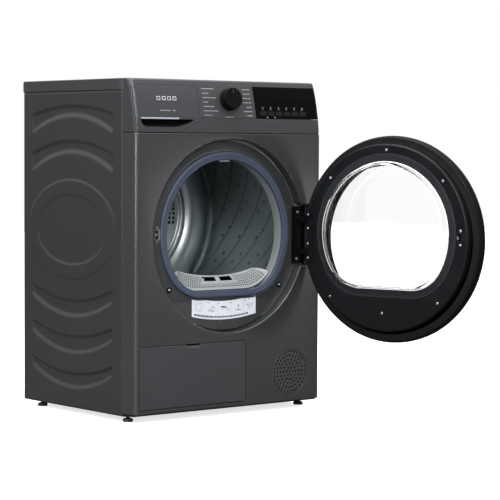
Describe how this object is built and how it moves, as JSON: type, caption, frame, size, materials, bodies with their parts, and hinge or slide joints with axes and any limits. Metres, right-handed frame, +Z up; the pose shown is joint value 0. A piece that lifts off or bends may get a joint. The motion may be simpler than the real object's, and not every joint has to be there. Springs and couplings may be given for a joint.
{
  "type": "clothes dryer",
  "caption": "Front-loading heat-pump clothes dryer with hinged round glass door, turning drum, condensate drawer, lint filter, service flap and selector knob.",
  "frame": {"origin": "on the floor under the middle of the four feet", "axes": "+Z up, -Y is the front where the door is, +X is the door's hinge side seen from the front"},
  "size_m": [0.704, 1.0116, 0.845],
  "materials": {
    "anthracite_steel": "metallic anthracite paint, satin",
    "anthracite_plastic": "fine-grained moulded plastic",
    "black_plastic": "satin black plastic",
    "black_matte": "matte black plastic",
    "black_glass": "gloss black window",
    "clear_glass": "clear glass",
    "gasket_rubber": "blue-grey rubber",
    "rubber_black": "black rubber",
    "stainless": "stainless steel",
    "zinc": "zinc-plated steel",
    "drum_coat": "grey-green coated steel",
    "grey_plastic": "light grey plastic",
    "dark_grey_plastic": "dark grey plastic",
    "silver_trim": "silver trim",
    "label_film": "white film",
    "light_lens": "frosted lens",
    "pcb": "circuit board",
    "copper": "copper tube",
    "fins": "fin pack",
    "cast_black": "black enamel",
    "tank_plastic": "translucent plastic",
    "galvanised": "galvanised sheet"
  },
  "bodies": {
    "cabinet": {"base_tray": "dark_grey_plastic", "feet": "rubber_black", "side_panel_left": "anthracite_steel", "side_panel_right": "anthracite_steel", "front_panel": "anthracite_steel", "top_panel": "anthracite_plastic", "rear_panel": "galvanised", "air_grille": "anthracite_plastic", "door_gasket": "gasket_rubber", "front_bulkhead": "grey_plastic", "drum_light": "light_lens", "door_latch": "zinc", "door_bumpers": "dark_grey_plastic", "hinge_bracket": "black_plastic", "hinge_pins": "zinc", "bracket_screws": "zinc", "instruction_label": "label_film", "fascia_frame": "anthracite_plastic", "programme_panel": "anthracite_plastic", "display_window": "black_glass", "control_board": "pcb", "tank_guide": "grey_plastic", "filter_duct": "dark_grey_plastic", "exchanger_cover": "dark_grey_plastic", "evaporator": "fins", "condenser": "fins", "compressor": "cast_black", "refrigerant_pipes": "copper", "condensate_pump": "grey_plastic", "motor": "zinc", "blower_housing": "dark_grey_plastic", "drive_belt": "rubber_black", "rear_bearing": "zinc", "rear_duct": "galvanised", "drain_spigot": "black_matte", "mains_inlet": "black_matte"},
    "door": {"door_outer_frame": "black_plastic", "door_window": "clear_glass", "door_inner_frame": "black_matte", "door_bowl": "clear_glass", "bowl_ring": "dark_grey_plastic", "door_hook": "zinc", "hinge_leaf": "black_plastic", "door_screws": "zinc"},
    "drum": {"drum_shell": "drum_coat", "drum_rear_wall": "stainless", "drum_baffles": "dark_grey_plastic", "drum_shaft": "zinc"},
    "rotor": {"motor_rotor": "zinc", "blower_wheel": "black_matte"},
    "roller_left": {"support_roller_left": "rubber_black"},
    "roller_right": {"support_roller_right": "rubber_black"},
    "tensioner": {"tensioner_arm": "zinc"},
    "idler": {"tensioner_pulley": "black_matte"},
    "knob": {"selector_knob": "black_matte"},
    "drawer": {"drawer_front": "anthracite_plastic", "grip_strip": "silver_trim", "water_tank": "tank_plastic"},
    "flap": {"service_flap": "anthracite_steel"},
    "filter": {"lint_filter": "grey_plastic"}
  },
  "joints": [
    {"name": "door_hinge", "type": "hinge", "parent": "cabinet", "child": "door", "pos_m": [0.247, -0.2689, 0.449], "axis": [0, 0, 1], "range_deg": [-105.9, 14]},
    {"name": "drum_spin", "type": "hinge", "parent": "cabinet", "child": "drum", "pos_m": [0, 0, 0.496], "axis": [0, 1, 0], "continuous": true},
    {"name": "motor_spin", "type": "hinge", "parent": "cabinet", "child": "rotor", "pos_m": [0.19, -0.04, 0.11], "axis": [0, 1, 0], "continuous": true},
    {"name": "roller_left_spin", "type": "hinge", "parent": "cabinet", "child": "roller_left", "pos_m": [-0.1983, -0.171, 0.25967], "axis": [0, 1, 0], "continuous": true},
    {"name": "roller_right_spin", "type": "hinge", "parent": "cabinet", "child": "roller_right", "pos_m": [0.1983, -0.171, 0.25967], "axis": [0, 1, 0], "continuous": true},
    {"name": "tensioner_swing", "type": "hinge", "parent": "cabinet", "child": "tensioner", "pos_m": [0.098, 0.0495, 0.063], "axis": [0, -1, 0], "range_deg": [0, 12], "stiffness_Nm_per_rad": 0.5, "springref_deg": -11.46},
    {"name": "idler_spin", "type": "hinge", "parent": "tensioner", "child": "idler", "pos_m": [0.11918, 0.036, 0.1171], "axis": [0, 1, 0], "continuous": true},
    {"name": "knob_turn", "type": "hinge", "parent": "cabinet", "child": "knob", "pos_m": [-0.0015, -0.2369, 0.796], "axis": [0, -0.981, 0.1942], "continuous": true},
    {"name": "drawer_slide", "type": "slide", "parent": "cabinet", "child": "drawer", "axis": [0, -1, 0], "range_m": [0, 0.34]},
    {"name": "flap_hinge", "type": "hinge", "parent": "cabinet", "child": "flap", "pos_m": [0, -0.2472, 0.035], "axis": [1, 0, 0], "range_deg": [0, 90]},
    {"name": "filter_slide", "type": "slide", "parent": "cabinet", "child": "filter", "axis": [0, 0, 1], "range_m": [0, 0.14]}
  ],
  "couplings": [
    {"joint": "motor_spin", "follows": "drum_spin", "ratio": 30.889},
    {"joint": "roller_left_spin", "follows": "drum_spin", "ratio": -9.2667},
    {"joint": "roller_right_spin", "follows": "drum_spin", "ratio": -9.2667},
    {"joint": "idler_spin", "follows": "drum_spin", "ratio": -23.167}
  ]
}
